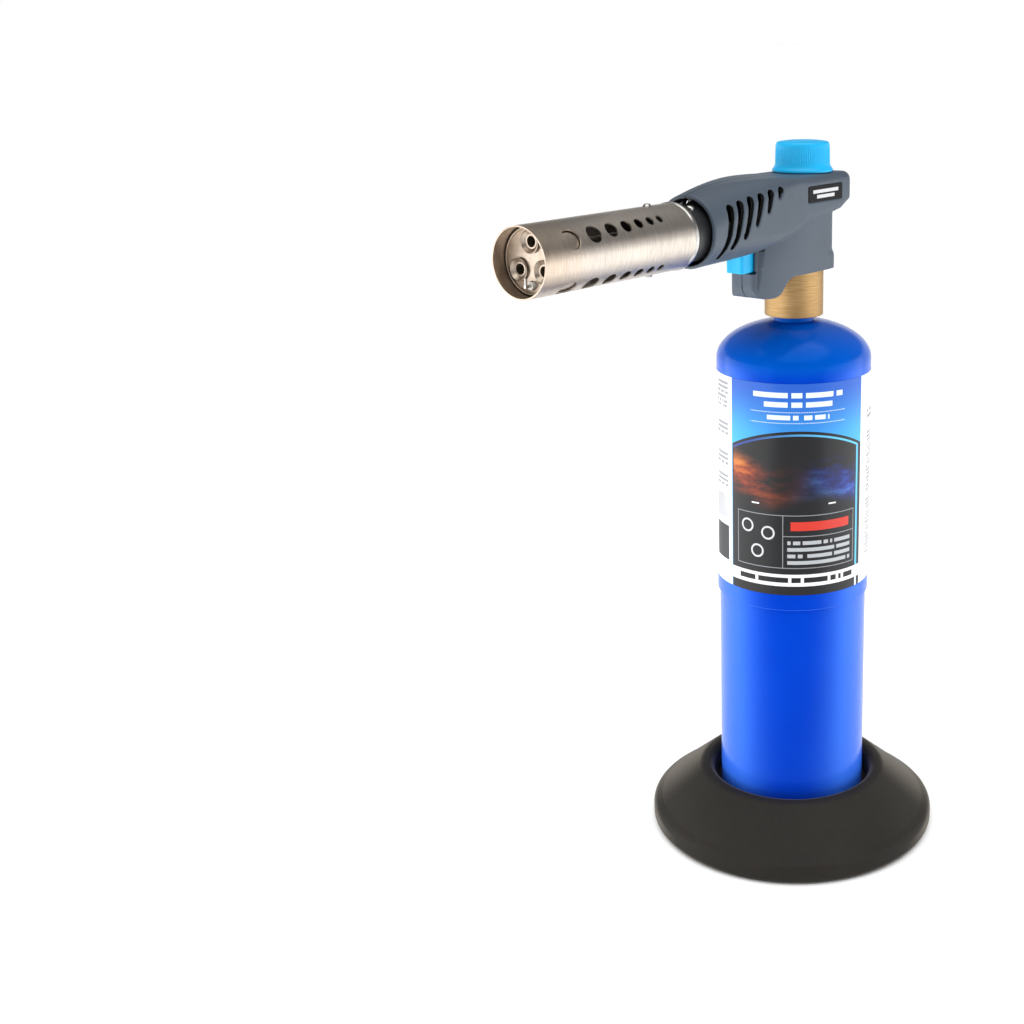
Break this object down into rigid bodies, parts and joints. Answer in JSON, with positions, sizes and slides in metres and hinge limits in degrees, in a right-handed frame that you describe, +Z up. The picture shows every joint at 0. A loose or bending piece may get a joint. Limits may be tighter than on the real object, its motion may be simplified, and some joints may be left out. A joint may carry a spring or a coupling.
{
  "type": "hand torch with gas cylinder and stand",
  "caption": "Hand-held gas torch with a knob valve, push-button igniter and drilled flame tube, screwed onto a tall gas cylinder that stands in a round base.",
  "frame": {"origin": "on the gas cylinder's axis at the underside of the base's foot ring, where it meets the table", "axes": "+Z up along the cylinder; -X along the flame tube towards its mouth; -Y is the side with the badge"},
  "size_m": [0.2568, 0.144, 0.3475],
  "materials": {
    "base_plastic": "matte moulded",
    "black_rubber": "matte",
    "blue_paint": "gloss enamel",
    "label_film": "printed film",
    "brass": "turned",
    "plain_steel": "bright",
    "sky_plastic": "satin moulded",
    "tube_steel": "brushed",
    "dark_collar": "satin",
    "ceramic": "glazed",
    "wire_jacket": "satin",
    "dark_plastic": "moulded",
    "grey_housing": "fine moulded",
    "badge_film": "printed film"
  },
  "bodies": {
    "stand": {"stand_base": "base_plastic", "stand_foot_ring": "black_rubber"},
    "cylinder": {"cylinder_lower_shell": "blue_paint", "cylinder_upper_shell": "blue_paint", "cylinder_label": "label_film", "cylinder_boss": "blue_paint", "cylinder_valve_core": "brass", "relief_valve": "brass"},
    "cylinder_pin": {"cylinder_valve_pin": "plain_steel", "cylinder_valve_spring": "plain_steel"},
    "seal": {"inlet_seal": "black_rubber"},
    "torch": {"brass_collar": "brass", "inlet_filter": "brass", "valve_depressor": "plain_steel", "regulator_bell": "brass", "regulator_diaphragm": "black_rubber", "regulator_spring": "plain_steel", "valve_block": "brass", "packing_nut": "brass", "stem_o_ring": "black_rubber", "gas_pipe": "brass", "gas_jet": "brass", "mixer_tube": "tube_steel", "burner_collar": "dark_collar", "collar_screws": "plain_steel", "flame_tube": "tube_steel", "tube_rivets": "plain_steel", "burner_cup": "tube_steel", "burner_head": "tube_steel", "electrode_ceramic": "ceramic", "electrode": "plain_steel", "igniter_lead": "wire_jacket", "igniter_body": "dark_plastic", "housing_left": "grey_housing", "housing_right": "grey_housing", "housing_screws": "plain_steel", "guard_screw": "plain_steel", "side_badge": "badge_film"},
    "knob": {"control_knob": "sky_plastic", "knob_insert": "brass", "valve_stem": "brass"},
    "needle": {"valve_needle": "plain_steel"},
    "trigger": {"trigger_button": "sky_plastic", "igniter_plunger": "dark_plastic", "trigger_spring": "plain_steel"}
  },
  "joints": [
    {"name": "cylinder_lift", "type": "slide", "parent": "stand", "child": "cylinder", "axis": [0, 0, 1], "range_m": [0, 0.03]},
    {"name": "cylinder_pin_press", "type": "slide", "parent": "cylinder", "child": "cylinder_pin", "axis": [0, 0, -1], "range_m": [0, 0.0012], "stiffness_N_per_m": 1500, "springref_m": -0.001, "deforming": ["cylinder_valve_spring"]},
    {"name": "torch_rise", "type": "slide", "parent": "cylinder", "child": "seal", "axis": [0, 0, 1], "range_m": [0, 0.00762]},
    {"name": "torch_unscrew", "type": "hinge", "parent": "seal", "child": "torch", "pos_m": [0, 0, 0.2654], "axis": [0, 0, 1], "range_deg": [0, 2160]},
    {"name": "knob_turn", "type": "hinge", "parent": "torch", "child": "knob", "pos_m": [0.0067, 0, 0.3329], "axis": [0, 0, 1], "range_deg": [0, 450]},
    {"name": "needle_lift", "type": "slide", "parent": "torch", "child": "needle", "axis": [0, 0, 1], "range_m": [0, 0.000625]},
    {"name": "trigger_press", "type": "slide", "parent": "torch", "child": "trigger", "axis": [1, 0, 0], "range_m": [0, 0.004], "stiffness_N_per_m": 2500, "springref_m": -0.002, "deforming": ["trigger_spring"]}
  ],
  "couplings": [
    {"joint": "torch_rise", "follows": "torch_unscrew", "m_per_rad": 0.00020213},
    {"joint": "needle_lift", "follows": "knob_turn", "m_per_rad": 0.000079577}
  ]
}
